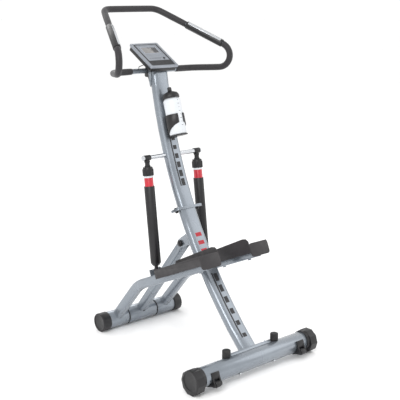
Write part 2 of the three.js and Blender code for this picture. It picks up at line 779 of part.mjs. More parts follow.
// ---------------------------------------------------------------- shock absorbers
const rise = degrees(ARM.rise);
const eye = {
  y: FRONT.y - ARM.kneeBack - SHOCK.along * Math.cos(rise) + eyeUp * Math.sin(rise),
  z: FRONT.axisZ + ARM.kneeUp + SHOCK.along * Math.sin(rise) + eyeUp * Math.cos(rise),
};
const shockLean = THREE.MathUtils.radToDeg(Math.atan2(shockBar.y - eye.y, shockBar.z - eye.z));
const shockLength = Math.hypot(shockBar.y - eye.y, shockBar.z - eye.z);
const knobEnd = SHOCK.knobTop + SHOCK.knobLength;
const bandStart = knobEnd + SHOCK.ringLength + 2 * GAP;
const sleeveTop = bandStart + SHOCK.band;
const sleeveBottom = sleeveTop + SHOCK.sleeveLength;

function shockHead(frame, name) {
  const half = SHOCK.bossWidth / 2;
  const neck = turned(
    [
      [0, -bandStart + GAP],
      [SHOCK.stemR, -bandStart + GAP],
      [SHOCK.stemR, -SHOCK.knobTop + GAP],
      [SHOCK.neckR + 2.5, -SHOCK.knobTop + GAP],
      [SHOCK.neckR + 2.5, -SHOCK.knobTop + 5],
      [SHOCK.neckR, -SHOCK.knobTop + 7],
      [SHOCK.neckR, -SHOCK.bossR - 8],
      [SHOCK.neckR + 2, -SHOCK.bossR - 6],
      [SHOCK.neckR + 2, -SHOCK.bossR - 2],
      [SHOCK.neckR, -SHOCK.bossR],
      [SHOCK.neckR, -SHOCK.bossR + 4],
      [0, -SHOCK.bossR + 4],
    ],
    "z",
    20,
  );
  const head = cut(
    join(pin(SHOCK.bossR, -half, half, "x", 24), neck),
    hole(SHOCK.barR + GAP, -half - 1, half + 1, "x", 24),
  );
  part(frame, `shock_head_${name}`, head, "plastic");
}

function knob(frame, name) {
  const flutes = 12;
  const points = [];
  for (let i = 0; i < flutes; i++) {
    [-0.32, -0.18, 0.18, 0.32].forEach((offset, k) => {
      const angle = ((i + offset) * 2 * Math.PI) / flutes;
      const radius = SHOCK.knobR - (k === 0 || k === 3 ? 2.5 : 0);
      points.push([radius * Math.cos(angle), radius * Math.sin(angle)]);
    });
  }
  const bore = disc((SHOCK.stemR + GAP) / Math.cos(Math.PI / 20), 20);
  const wheelShape = holed(outline(points), bore);
  const body = raised(wheelShape, -knobEnd, -SHOCK.knobTop - 8);
  const shoulder = pipe(
    SHOCK.stemR + GAP,
    SHOCK.knobR - 3,
    -SHOCK.knobTop - 9,
    -SHOCK.knobTop,
    "z",
    20,
  );
  part(frame, `knob_${name}`, join(body, shoulder), "plastic");
}

function shockBody(frame, name) {
  const ringPiece = pipe(SHOCK.stemR + GAP, SHOCK.ringR, -bandStart + GAP, -knobEnd - GAP, "z", 24);
  part(frame, `scale_ring_${name}`, ringPiece, "white");
  const gland = -sleeveBottom + 8;
  const clearRod = (SHOCK.rodR + GAP) / Math.cos(Math.PI / 24);
  const cylinder = turned(
    [
      [0, -bandStart - 10],
      [SHOCK.boreR, -bandStart - 10],
      [SHOCK.boreR, gland],
      [clearRod, gland],
      [clearRod, -sleeveBottom],
      [SHOCK.bodyR, -sleeveBottom],
      [SHOCK.bodyR, -bandStart],
      [0, -bandStart],
    ],
    "z",
    24,
  );
  part(frame, `shock_cylinder_${name}`, cylinder, "red");
  const bore = (SHOCK.bodyR + GAP) / Math.cos(Math.PI / 24);
  const sleeve = turned(
    [
      [clearRod, -sleeveBottom - 12],
      [SHOCK.boreR, -sleeveBottom - 12],
      [SHOCK.sleeveR, -sleeveBottom],
      [SHOCK.sleeveR, -sleeveTop],
      [bore, -sleeveTop],
      [bore, -sleeveBottom - GAP],
      [clearRod, -sleeveBottom - GAP],
      [clearRod, -sleeveBottom - 12],
    ],
    "z",
    24,
  );
  part(frame, `shock_sleeve_${name}`, sleeve, "plastic");
}

function pistonRod(frame, side, name) {
  const pistonTop = bandStart + 32;
  const neckTop = sleeveBottom + 13;
  const rod = turned(
    [
      [0, -shockLength],
      [SHOCK.rodR + 2, -shockLength],
      [SHOCK.rodR + 2, -neckTop],
      [SHOCK.rodR, -neckTop],
      [SHOCK.rodR, -pistonTop - 12],
      [SHOCK.boreR - 2 * GAP, -pistonTop - 12],
      [SHOCK.boreR - 2 * GAP, -pistonTop],
      [0, -pistonTop],
    ],
    "z",
    16,
  );
  const half = SHOCK.eyeWidth / 2;
  const capNear = ARM.width / 2 - 1 + GAP;
  const [bolt0, bolt1] = between(-side, -half - 2, capNear + 1);
  const cap = dome(SHOCK.boltR * 2, 0, 3, 4, "x", 16);
  if (side > 0) cap.rotateZ(Math.PI);
  const lower = join(
    pin(SHOCK.eyeR, -half, half, "x", 20),
    pin(SHOCK.boltR, bolt0, bolt1, "x", 16),
    cap.translate(-side * capNear, 0, 0),
  );
  part(frame, `piston_rod_${name}`, join(rod, lower.translate(0, 0, -shockLength)), "chrome");
}

// ---------------------------------------------------------------- handlebar
// The head frame sits on the post's centre line, level with the handlebar's lower run.
const headPoint = postAt(POST.topZ + BAR.raise);
const headLean = postLean(headPoint.z);
const headFrame = group(machine, 0, headPoint.y, headPoint.z);
const barFrame = group(headFrame, 0, BAR.standOff, 0);
const sideCorners = (side) => [
  V(side * BAR.lowHalf, 0, 0),
  V(side * BAR.sideHalf, -BAR.back, BAR.backRise),
  V(side * BAR.topHalf, BAR.ahead, BAR.rise),
];
const sideRadii = [BAR.lowR, BAR.backR, BAR.topR];
const onGripRun = (side, t) => {
  const [, back, top] = sideCorners(side);
  return back.clone().lerp(top, t);
};
const tubeHole = (sides) => disc((BAR.tubeR + GAP) / Math.cos(Math.PI / sides), sides);

function handlebarTube() {
  const corners = [
    V(GAP, 0, 0),
    ...sideCorners(1),
    ...sideCorners(-1).reverse(),
    V(-GAP, 0, 0),
  ];
  const path = rounded(corners, [...sideRadii, ...sideRadii.toReversed()], 18);
  const section = holed(disc(BAR.tubeR, 12), disc(BAR.tubeR - BAR.wall, 8));
  part(barFrame, "handlebar_tube", swept(section, path), "frame");
}

function foams() {
  const section = () => holed(disc(BAR.foamR, 12), tubeHole(12));
  for (const side of SIDES) {
    const [low, back] = sideCorners(side);
    const start = V(side * BAR.foamStart, 0, 0);
    const end = onGripRun(side, BAR.gripFrom - 0.002);
    const path = rounded([start, low, back, end], [BAR.lowR, BAR.backR], 18);
    part(barFrame, `foam_${sideName(side)}`, swept(section(), path), "foam");
  }
  const corners = [
    onGripRun(-1, BAR.gripTo + 0.002),
    sideCorners(-1)[2],
    sideCorners(1)[2],
    onGripRun(1, BAR.gripTo + 0.002),
  ];
  const path = rounded(corners, [BAR.topR, BAR.topR], 18);
  part(barFrame, "foam_top", swept(section(), path), "foam");
}

function pulseGrip(side) {
  const from = onGripRun(side, BAR.gripFrom);
  const to = onGripRun(side, BAR.gripTo);
  const length = from.distanceTo(to);
  const frame = new THREE.Group();
  frame.position.copy(from);
  frame.quaternion.setFromUnitVectors(V(0, 0, 1), to.clone().sub(from).normalize());
  barFrame.add(frame);
  const bore = (BAR.tubeR + GAP) / Math.cos(Math.PI / 20);
  const body = turned(
    [
      [bore, 0],
      [BAR.gripR - 1, 0],
      [BAR.gripR, 3],
      [BAR.gripR, length - 3],
      [BAR.gripR - 1, length],
      [bore, length],
      [bore, 0],
    ],
    "z",
    20,
  );
  part(frame, `pulse_grip_${sideName(side)}`, body, "plastic");
  const along = to.clone().sub(from);
  const facing = THREE.MathUtils.radToDeg(Math.atan2(-along.y, -along.x)) - side * BAR.plateTurn;
  const inner = (BAR.gripR + GAP) / Math.cos(Math.PI / 20);
  const band = arcBand(inner, inner + 0.8, facing - BAR.plateHalf, facing + BAR.plateHalf, 6);
  const plate = raised(band, BAR.plateInset, length - BAR.plateInset);
  part(frame, `pulse_plate_${sideName(side)}`, plate, "bright");
}

// ---------------------------------------------------------------- clamp and console
const tilt = degrees(CONSOLE.tilt);
const stack = CONSOLE.lift + CONSOLE.back + GAP + CONSOLE.face;
const consoleFrame = group(
  headFrame,
  0,
  -CONSOLE.reach * Math.cos(tilt) - stack * Math.sin(tilt),
  -CONSOLE.reach * Math.sin(tilt) + stack * Math.cos(tilt),
  -CONSOLE.tilt,
);
const consoleUnder = -CONSOLE.face - GAP - CONSOLE.back;
const onConsole = (geometry) =>
  placed(geometry, consoleFrame.position.y, consoleFrame.position.z, -CONSOLE.tilt);

function handlebarClamp() {
  const crown = [];
  for (let i = 0; i <= 8; i++) {
    const angle = (i * Math.PI) / 8;
    const y = BAR.standOff + CLAMP.radius * Math.cos(angle);
    crown.push([y, CLAMP.radius * Math.sin(angle)]);
  }
  const shape = outline([
    [CLAMP.rear, -CLAMP.skirt],
    [CLAMP.front - 5, -CLAMP.skirt],
    [CLAMP.front, -CLAMP.skirt + 5],
    [CLAMP.front, -6],
    ...crown,
    [CLAMP.rear, -4],
  ]);
  const tailShape = outline([
    [POST.depth / 2 - SINK, -CLAMP.tail],
    [POST.depth / 2 + 3, -CLAMP.tail],
    [CLAMP.front - 16, -CLAMP.skirt - 8],
    [CLAMP.front - 10, -CLAMP.skirt / 2],
    [POST.depth / 2 - SINK, -CLAMP.skirt / 2],
  ]);
  const tailHalf = POST.width / 2 - 8;
  const solid = join(
    sidePlate(shape, -CLAMP.half, CLAMP.half),
    sidePlate(tailShape, -tailHalf, tailHalf).rotateX(-degrees(headLean)),
  );
  const post = postLength(POST.topZ - 2 * CLAMP.tail, POST.topZ + 1, GAP, false);
  const bore = hole(BAR.tubeR + GAP, -CLAMP.half - 1, CLAMP.half + 1, "x", 24);
  const clamp = cut(
    solid,
    bore.translate(0, BAR.standOff, 0),
    post.translate(0, -headPoint.y, -headPoint.z),
  );
  part(headFrame, "handlebar_clamp", clamp, "plastic");
}

function consoleBracket() {
  const drift = (z) => z * Math.tan(degrees(headLean));
  const rear = -3;
  const front = CLAMP.rear - 2;
  const foot = -CLAMP.tail + 4;
  const underAt = (y) =>
    (CONSOLE.lift - GAP - 1 + y * Math.sin(tilt)) / Math.cos(tilt);
  const cheek = outline([
    [drift(foot) + 4, foot],
    [drift(foot) + 12, foot],
    [front + drift(-CLAMP.skirt), -CLAMP.skirt],
    [front, underAt(front)],
    [rear, underAt(rear)],
    [rear + drift(-CLAMP.skirt), -CLAMP.skirt],
  ]);
  const near = POST.width / 2 + 2 * GAP;
  const width = 2 * (near + STRUT.sheet);
  const plateZ = consoleUnder - GAP - STRUT.sheet / 2;
  const along = CONSOLE.reach + (front - rear) / 2 + 2;
  const plate = slab(width, front - rear, STRUT.sheet, 0, along + 3, plateZ);
  const cheeks = SIDES.map((side) => {
    const [x0, x1] = between(side, near, near + STRUT.sheet);
    return sidePlate(cheek, x0, x1);
  });
  const screws = SIDES.map((side) => {
    const screw = dome(5, 0, 1.5, 2.5, "x", 12);
    if (side < 0) screw.rotateZ(Math.PI);
    const z = (foot - CLAMP.skirt) / 2;
    return screw.translate(side * (near + STRUT.sheet - 0.5), drift(z) + 6, z);
  });
  part(headFrame, "console_bracket", join(onConsole(plate), ...cheeks, ...screws), "frame");
}

function consoleUnit() {
  const { width, length, face, back, inset } = CONSOLE;
  const middle = length / 2;
  const housing = raised(
    roundedBox(width - 2 * inset, length - 2 * inset, 5, 3),
    consoleUnder,
    -face - GAP,
  );
  part(consoleFrame, "console_back", housing.translate(0, middle, 0), "plastic");
  const bezel = cut(
    raised(roundedBox(width, length, 6, 4), -face, 0).translate(0, middle, 0),
    slab(
      CONSOLE.screenWidth,
      CONSOLE.screenLength,
      2 * 3.3,
      0,
      CONSOLE.screenAt,
      0,
    ),
    hole(CONSOLE.buttonR + GAP, -face - 1, 1, "z", 16).translate(
      CONSOLE.buttonX,
      CONSOLE.buttonY,
      0,
    ),
  );
  part(consoleFrame, "console_front", bezel, "face");
  const lens = slab(
    CONSOLE.screenWidth - 2 * GAP,
    CONSOLE.screenLength - 2 * GAP,
    2.4,
    0,
    CONSOLE.screenAt,
    -1.8,
  );
  part(consoleFrame, "lcd_lens", lens, "screen");
  const button = part(
    consoleFrame,
    "console_button",
    stud(CONSOLE.buttonR, -face + 2, 1.5, 0.8, "z", 16),
    "plastic",
  );
  button.position.set(CONSOLE.buttonX, CONSOLE.buttonY, 0);
}

function onConsolePoint(x, y, z) {
  const point = V(x, y, z).applyAxisAngle(V(1, 0, 0), tilt);
  return point.add(consoleFrame.position);
}

function sensorWire() {
  const leave = onConsolePoint(-WIRE.leaveX, WIRE.leaveY, consoleUnder - GAP);
  const down = onConsolePoint(-WIRE.leaveX, WIRE.leaveY, consoleUnder - WIRE.drop);
  const entry = V(-WIRE.entryX, BAR.standOff, BAR.tubeR + GAP);
  const over = V(-WIRE.entryX, BAR.standOff, BAR.tubeR + WIRE.drop);
  const path = rounded([leave, down, over, entry], [WIRE.bendR, WIRE.bendR], 20);
  part(headFrame, "sensor_wire", swept(disc(WIRE.radius, 6), path), "rubber");
}

// ---------------------------------------------------------------- bottle and cage
const bottleAxis = BOTTLE.radius + BOTTLE.behind; // from the post's centre line to the bottle's
const bottlePost = postAt(BOTTLE.baseZ);
const bottleLean = postLean(BOTTLE.baseZ);
const bottleFrame = group(machine, 0, bottlePost.y, bottlePost.z, bottleLean);

function bottleCage() {
  const inner = BOTTLE.radius + GAP + 0.5;
  const outer = inner + 3;
  const sag = BOTTLE.cageHeight ** 2 / (2 * POST.bendR);
  const postFace = -POST.depth / 2 - 2 * GAP - sag;
  const bottleBack = -bottleAxis + BOTTLE.radius;
  const spineDepth = postFace - bottleBack + SINK;
  const shell = pipe(inner, outer, -SINK, BOTTLE.cageHeight, "z", 24);
  const mouth = slab(2 * outer * Math.sin(degrees(18)), 2 * outer, 4 * BOTTLE.cageHeight, 0, -outer, 0);
  const slope = outline([
    [-outer - 1, BOTTLE.cageHeight * 0.6],
    [inner * 0.7, 4],
    [inner * 0.7, -1],
    [-outer - 1, -1],
  ]);
  const window = slab(2 * outer + 2, 6, 18, 0, inner * 0.72, BOTTLE.cageHeight * 0.7);
  const wings = cut(shell, mouth, sidePlate(slope, -outer - 1, outer + 1), window);
  const cup = pin(outer - 1, -4, -2 * GAP, "z", 24);
  const spineHeight = BOTTLE.cageHeight + 6;
  const spine = cut(
    slab(34, spineDepth, spineHeight, 0, 0, spineHeight / 2 - 6).translate(
      0,
      bottleAxis + postFace - spineDepth / 2,
      0,
    ),
    hole(inner, -1, BOTTLE.cageHeight + 20, "z", 24),
  );
  const cage = join(wings, spine, cup).translate(0, -bottleAxis, 0);
  part(bottleFrame, "bottle_cage", cage, "plastic");
}

function bottle() {
  const { radius, height, wall, neckR, capHeight, spoutR, spout } = BOTTLE;
  const holder = group(bottleFrame, 0, -bottleAxis, 0);
  const body = turned(
    [
      [0, 0],
      [radius - 3, 0],
      [radius, 3],
      [radius, height - 10],
      [neckR, height - 2],
      [neckR, height + 14],
      [neckR - wall, height + 14],
      [neckR - wall, height - 2],
      [radius - wall, height - 10 - wall],
      [radius - wall, 3],
      [0, wall],
    ],
    "z",
    28,
  );
  part(holder, "bottle", body, "white");
  const seat = height - 1;
  const clear = (neckR + GAP) / Math.cos(Math.PI / 24);
  const stem = (spoutR - 3 + GAP) / Math.cos(Math.PI / 24);
  const cap = turned(
    [
      [clear, seat],
      [radius - 1, seat],
      [radius - 1, seat + capHeight * 0.4],
      [radius - 7, seat + capHeight * 0.75],
      [spoutR + 3, seat + capHeight],
      [stem, seat + capHeight],
      [stem, height + 18],
      [clear, height + 18],
      [clear, seat],
    ],
    "z",
    28,
  );
  part(holder, "bottle_cap", cap, "plastic");
  const top = seat + capHeight + GAP;
  const valve = turned(
    [
      [0, height + 16],
      [spoutR - 3, height + 16],
      [spoutR - 3, top],
      [spoutR, top],
      [spoutR, top + spout - 4],
      [spoutR - 2, top + spout],
      [0, top + spout],
    ],
    "z",
    20,
  );
  part(holder, "bottle_spout", valve, "plastic");
}

// ---------------------------------------------------------------- assembly
rearBase();
lowerPost();
upperPost();
shockCrossbar();
frontStrut();
strutBoltAndCaps();
frontAxle();
handlebarTube();
foams();
handlebarClamp();
consoleBracket();
consoleUnit();
sensorWire();
bottleCage();
bottle();
for (const side of SIDES) {
  const name = sideName(side);
  baseBolt(side);
  rearCap(side);
  bumper(side);
  wheelBracket(side);
  wheel(side);
  flangeBolt(side);
  spacerRing(side);
  frontCap(side);
  pedalArm(side);
  footplate(side);
  pulseGrip(side);
  const frame = group(machine, side * SHOCK.x, shockBar.y, shockBar.z, shockLean);
  shockHead(frame, name);
  knob(frame, name);
  shockBody(frame, name);
  pistonRod(frame, side, name);
}

// The origin is on the floor, in the middle of the machine's length and width.
const extent = new THREE.Box3().setFromObject(machine, true);
machine.position.y = -(extent.min.y + extent.max.y) / 2;

export default machine;
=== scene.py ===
"""Looks of a two-pedal hydraulic stepper with a loop handlebar, over its CAD frame."""

import json
import math

import bmesh
import bpy
from mathutils import Matrix, Vector
from mathutils.bvhtree import BVHTree


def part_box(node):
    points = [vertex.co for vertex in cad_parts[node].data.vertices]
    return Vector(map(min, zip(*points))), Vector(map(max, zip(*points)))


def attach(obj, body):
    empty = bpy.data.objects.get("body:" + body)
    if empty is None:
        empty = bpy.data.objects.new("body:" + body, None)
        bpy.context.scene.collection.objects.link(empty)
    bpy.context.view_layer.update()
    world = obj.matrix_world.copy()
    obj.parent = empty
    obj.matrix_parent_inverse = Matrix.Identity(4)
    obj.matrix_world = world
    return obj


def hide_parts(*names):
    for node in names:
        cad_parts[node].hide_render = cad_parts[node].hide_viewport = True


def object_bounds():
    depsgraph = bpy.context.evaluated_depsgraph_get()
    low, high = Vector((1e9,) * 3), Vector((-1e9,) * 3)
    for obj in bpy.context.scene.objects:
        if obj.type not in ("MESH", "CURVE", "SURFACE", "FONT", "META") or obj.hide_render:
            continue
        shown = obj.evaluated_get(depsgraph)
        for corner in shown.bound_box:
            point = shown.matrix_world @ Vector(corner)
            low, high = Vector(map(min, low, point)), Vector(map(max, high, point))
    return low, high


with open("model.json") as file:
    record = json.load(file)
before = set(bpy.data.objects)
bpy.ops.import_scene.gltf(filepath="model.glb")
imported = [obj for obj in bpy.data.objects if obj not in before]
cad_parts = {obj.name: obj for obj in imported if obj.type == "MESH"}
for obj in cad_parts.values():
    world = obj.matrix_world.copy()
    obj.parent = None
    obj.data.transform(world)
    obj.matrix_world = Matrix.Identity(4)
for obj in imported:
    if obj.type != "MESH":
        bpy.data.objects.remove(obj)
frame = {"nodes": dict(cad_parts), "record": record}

MM = 0.001
SIDES = ("left", "right")
UP = Vector((0, 0, 1))
ACROSS = Vector((1, 0, 0))

cad_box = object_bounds()
record = frame["record"]
nodes = frame["nodes"]
joints = {joint["name"]: joint for joint in record["behaviour"]["joints"]}
slot_of = {row["node"]: row["material_slot"] for row in record["subparts"]}


def middle(node):
    low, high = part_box(node)
    return (low + high) / 2


# ---------------------------------------------------------------- camera
VIEW_AZIMUTH = math.radians(-41.006)
VIEW_ELEVATION = math.radians(13.386)
VIEW_DISTANCE = 2.524
VIEW_ASIDE = 0.0205
VIEW_RAISE = -0.0493
LENS = 78.26
SENSOR = 36


def make_camera():
    """The distances are in heights of the object."""
    low, high = cad_box
    height = high.z - low.z
    tilt = Matrix.Rotation(math.pi / 2 - VIEW_ELEVATION, 3, "X")
    turn = Matrix.Rotation(VIEW_AZIMUTH, 3, "Z") @ tilt
    right, up, back = turn.col
    aim = (low + high) / 2 + (right * VIEW_ASIDE + up * VIEW_RAISE) * height
    data = bpy.data.cameras.new("camera")
    data.lens = LENS
    data.sensor_width = SENSOR
    data.clip_start = 0.05
    data.clip_end = 50
    camera = bpy.data.objects.new("camera", data)
    camera.matrix_world = Matrix.Translation(aim + back * VIEW_DISTANCE * height) @ turn.to_4x4()
    bpy.context.scene.collection.objects.link(camera)
    bpy.context.scene.camera = camera


# ---------------------------------------------------------------- material tools
def linear(red, green, blue):
    """A colour written as screen values from 0 to 255."""

    def one(value):
        value = value / 255
        return value / 12.92 if value <= 0.04045 else ((value + 0.055) / 1.055) ** 2.4

    return (one(red), one(green), one(blue), 1)


class Look:
    """A material with helpers for its nodes, in the object's own coordinates in metres."""

    def __init__(self, name, metallic=0.0, roughness=0.5):
        self.material = bpy.data.materials.new(name)
        self.material.use_nodes = True
        self.tree = self.material.node_tree
        self.shader = self.tree.nodes["Principled BSDF"]
        self.shader.inputs["Metallic"].default_value = metallic
        self.shader.inputs["Roughness"].default_value = roughness
        self.place = self.add("ShaderNodeTexCoord").outputs["Object"]
        self.height = None

    def add(self, kind, **values):
        node = self.tree.nodes.new(kind)
        for key, value in values.items():
            setattr(node, key, value)
        return node

    def link(self, source, target):
        self.tree.links.new(source, target)

    def stretched(self, x, y, z):
        node = self.add("ShaderNodeVectorMath", operation="MULTIPLY")
        self.link(self.place, node.inputs[0])
        node.inputs[1].default_value = (x, y, z)
        return node.outputs["Vector"]

    def noise(self, scale, detail=3.0, roughness=0.5, place=None):
        node = self.add("ShaderNodeTexNoise")
        self.link(place or self.place, node.inputs["Vector"])
        node.inputs["Scale"].default_value = scale
        node.inputs["Detail"].default_value = detail
        node.inputs["Roughness"].default_value = roughness
        return node.outputs["Fac"]

    def cells(self, scale):
        node = self.add("ShaderNodeTexVoronoi")
        self.link(self.place, node.inputs["Vector"])
        node.inputs["Scale"].default_value = scale
        return node.outputs["Distance"]

    def span(self, value, low, high, to_low=0.0, to_high=1.0):
        node = self.add("ShaderNodeMapRange")
        self.link(value, node.inputs["Value"])
        node.inputs["From Min"].default_value = low
        node.inputs["From Max"].default_value = high
        node.inputs["To Min"].default_value = to_low
        node.inputs["To Max"].default_value = to_high
        return node.outputs["Result"]

    def edges(self, radius):
        """About 1 on edges sharper than the radius, and 0 on flat faces."""
        bevel = self.add("ShaderNodeBevel", samples=4)
        bevel.inputs["Radius"].default_value = radius
        dot = self.add("ShaderNodeVectorMath", operation="DOT_PRODUCT")
        self.link(bevel.outputs["Normal"], dot.inputs[0])
        self.link(self.add("ShaderNodeNewGeometry").outputs["Normal"], dot.inputs[1])
        return self.span(dot.outputs["Value"], 0.99, 0.86)

    def times(self, first, second):
        node = self.add("ShaderNodeMath", operation="MULTIPLY")
        self.link(first, node.inputs[0])
        self.link(second, node.inputs[1])
        return node.outputs["Value"]

    def blend(self, amount, first, second):
        """A mix of two colours, each a value or the output of another node."""
        node = self.add("ShaderNodeMix", data_type="RGBA")
        self.link(amount, node.inputs["Factor"])
        for name, colour in (("A", first), ("B", second)):
            socket = next(s for s in node.inputs if s.name == name and s.type == "RGBA")
            if isinstance(colour, tuple):
                socket.default_value = colour
            else:
                self.link(colour, socket)
        return next(s for s in node.outputs if s.type == "RGBA")

    def colour(self, source):
        self.link(source, self.shader.inputs["Base Color"])

    def rough(self, value, low, high):
        self.link(self.span(value, 0.3, 0.7, low, high), self.shader.inputs["Roughness"])

    def bump(self, value, depth, strength):
        """Depth in metres. Later calls lie over earlier ones."""
        node = self.add("ShaderNodeBump")
        node.inputs["Strength"].default_value = strength
        node.inputs["Distance"].default_value = depth
        self.link(value, node.inputs["Height"])
        if self.height is not None:
            self.link(self.height, node.inputs["Normal"])
        self.height = node.outputs["Normal"]
        self.link(self.height, self.shader.inputs["Normal"])


# ---------------------------------------------------------------- finishes
def silver_paint():
    look = Look("silver_paint", metallic=0.6)
    flake = look.noise(1400, 2)
    cloud = look.noise(7, 3)
    base = look.blend(look.span(cloud, 0.3, 0.7), linear(126, 133, 141), linear(138, 145, 153))
    sparkle = look.blend(look.span(flake, 0.56, 0.74, 0, 0.5), base, linear(170, 178, 188))
    worn = look.times(look.edges(1.4 * MM), look.span(look.noise(60, 4), 0.45, 0.62))
    look.colour(look.blend(look.span(worn, 0, 1, 0, 0.45), sparkle, linear(176, 180, 186)))
    look.rough(cloud, 0.22, 0.3)
    look.shader.inputs["Coat Weight"].default_value = 0.5
    look.shader.inputs["Coat Roughness"].default_value = 0.12
    look.bump(look.noise(260, 3), 0.06 * MM, 0.35)
    return look.material


def bright_steel():
    look = Look("bright_steel", metallic=1)
    brushed = look.noise(1, 4, 0.6, look.stretched(40, 900, 900))
    look.colour(look.blend(look.span(brushed, 0.35, 0.65), linear(186, 189, 193), linear(222, 224, 227)))
    look.rough(brushed, 0.2, 0.36)
    look.bump(brushed, 0.03 * MM, 0.5)
    return look.material


def chrome():
    look = Look("chrome", metallic=1)
    film = look.noise(90, 4)
    look.colour(look.blend(look.span(film, 0.4, 0.7), linear(224, 227, 230), linear(205, 208, 210)))
    look.rough(film, 0.06, 0.14)
    look.bump(look.noise(1, 2, 0.5, look.stretched(1200, 1200, 60)), 0.01 * MM, 0.4)
    return look.material


def red_paint():
    look = Look("red_paint")
    cloud = look.noise(55, 4)
    base = look.blend(look.span(cloud, 0.3, 0.7), linear(196, 12, 40), linear(172, 8, 34))
    look.colour(look.blend(look.span(look.edges(0.8 * MM), 0, 1, 0, 0.3), base, linear(214, 70, 84)))
    look.rough(cloud, 0.22, 0.34)
    look.shader.inputs["Coat Weight"].default_value = 0.6
    look.shader.inputs["Coat Roughness"].default_value = 0.08
    look.bump(look.noise(500, 2), 0.03 * MM, 0.4)
    return look.material


def foam():
    look = Look("foam")
    pores = look.cells(620)
    cloud = look.noise(26, 4)
    base = look.blend(look.span(cloud, 0.3, 0.7), linear(27, 25, 28), linear(37, 34, 38))
    look.colour(look.blend(look.span(pores, 0.1, 0.5, 0.5, 0), base, linear(14, 13, 15)))
    look.rough(cloud, 0.52, 0.7)
    look.shader.inputs["Sheen Weight"].default_value = 0.12
    look.shader.inputs["Sheen Roughness"].default_value = 0.5
    look.bump(look.noise(70, 4), 0.35 * MM, 0.4)
    look.bump(pores, 0.16 * MM, 0.6)
    return look.material


def black_rubber():
    look = Look("black_rubber")
    dust = look.noise(38, 5, 0.6)
    look.colour(look.blend(look.span(dust, 0.48, 0.75), linear(24, 24, 26), linear(58, 56, 56)))
    look.rough(dust, 0.55, 0.78)
    look.bump(look.noise(900, 3), 0.05 * MM, 0.6)
    return look.material


def moulded(name, dark, light, worn, grain, roughness):
    """Moulded plastic: a fine spark-eroded grain, faint flow marks and paler edges."""
    look = Look(name)
    flow = look.noise(14, 4)
    base = look.blend(look.span(flow, 0.3, 0.7), dark, light)
    rub = look.times(look.edges(1.2 * MM), look.span(look.noise(75, 4), 0.4, 0.6))
    look.colour(look.blend(look.span(rub, 0, 1, 0, 0.6), base, worn))
    look.rough(look.noise(45, 4), *roughness)
    look.bump(look.cells(grain), 0.07 * MM, 0.5)
    look.bump(look.noise(220, 3), 0.05 * MM, 0.4)
    return look.material


def tread_plastic():
    dark, light, worn = linear(38, 36, 38), linear(49, 46, 48), linear(88, 84, 86)
    return moulded("tread_plastic", dark, light, worn, 700, (0.42, 0.58))


def white_plastic():
    dark, light, worn = linear(208, 212, 216), linear(218, 221, 225), linear(232, 234, 236)
    return moulded("white_plastic", dark, light, worn, 900, (0.3, 0.42))


def black_plastic():
    dark, light, worn = linear(17, 16, 18), linear(25, 24, 27), linear(64, 62, 66)
    return moulded("black_plastic", dark, light, worn, 950, (0.32, 0.48))


def console_grey():
    look = Look("console_grey", metallic=0.5)
    flake = look.noise(1600, 2)
    base = look.blend(look.span(flake, 0.4, 0.7), linear(140, 145, 153), linear(160, 165, 172))
    look.colour(look.blend(look.span(look.edges(1.0 * MM), 0, 1, 0, 0.5), base, linear(196, 199, 204)))
    look.rough(look.noise(30, 4), 0.28, 0.4)
    look.bump(look.noise(420, 3), 0.04 * MM, 0.4)
    return look.material


def screen():
    look = Look("screen")
    mottle = look.noise(130, 4)
    look.colour(look.blend(look.span(mottle, 0.3, 0.7), linear(122, 121, 121), linear(136, 134, 132)))
    look.rough(mottle, 0.08, 0.18)
    look.shader.inputs["Coat Weight"].default_value = 1.0
    look.shader.inputs["Coat Roughness"].default_value = 0.04
    look.bump(look.cells(1500), 0.01 * MM, 0.3)
    return look.material


def ink(name, main, speck):
    """Screen-printed ink, a little uneven, with pinholes."""
    look = Look(name)
    look.colour(look.blend(look.span(look.noise(340, 4), 0.62, 0.8), main, speck))
    look.rough(look.noise(80, 3), 0.3, 0.45)
    look.bump(look.noise(700, 3), 0.02 * MM, 0.4)
    return look.material


FINISHES = {
    "silver_paint": silver_paint(),
    "bright_steel": bright_steel(),
    "chrome": chrome(),
    "red_paint": red_paint(),
    "foam": foam(),
    "black_rubber": black_rubber(),
    "tread_plastic": tread_plastic(),
    "white_plastic": white_plastic(),
    "console_grey": console_grey(),
    "screen": screen(),
    "black_plastic": black_plastic(),
}
BLACK_INK = ink("black_ink", linear(22, 22, 25), linear(60, 62, 66))
RED_INK = ink("red_ink", linear(172, 14, 34), linear(150, 44, 56))
GREY_INK = ink("grey_ink", linear(92, 95, 102), linear(124, 127, 132))
SHADE_INK = ink("shade_ink", linear(72, 72, 74), linear(92, 92, 93))
PANEL_INK = ink("panel_ink", linear(156, 161, 170), linear(168, 172, 180))


# ---------------------------------------------------------------- CAD nodes
# Width of the rounding on each node's edges, in millimetres.
USUAL_ROUND = 0.6
EDGE_ROUND = {
    "bottle_cage": 0.7,
    "console_front": 1.2,
    "console_back": 1.5,
    "footplate_left": 0.9,
    "footplate_right": 0.9,
    "lcd_lens": 0.2,
    "pulse_plate_left": 0.2,
    "pulse_plate_right": 0.2,
    "sensor_wire": 0.1,
}
ROUND_ABOVE = math.radians(32)
WELD_WITHIN = 0.01 * MM
STEM_ABOVE_SLEEVE_FOOT = 4 * MM


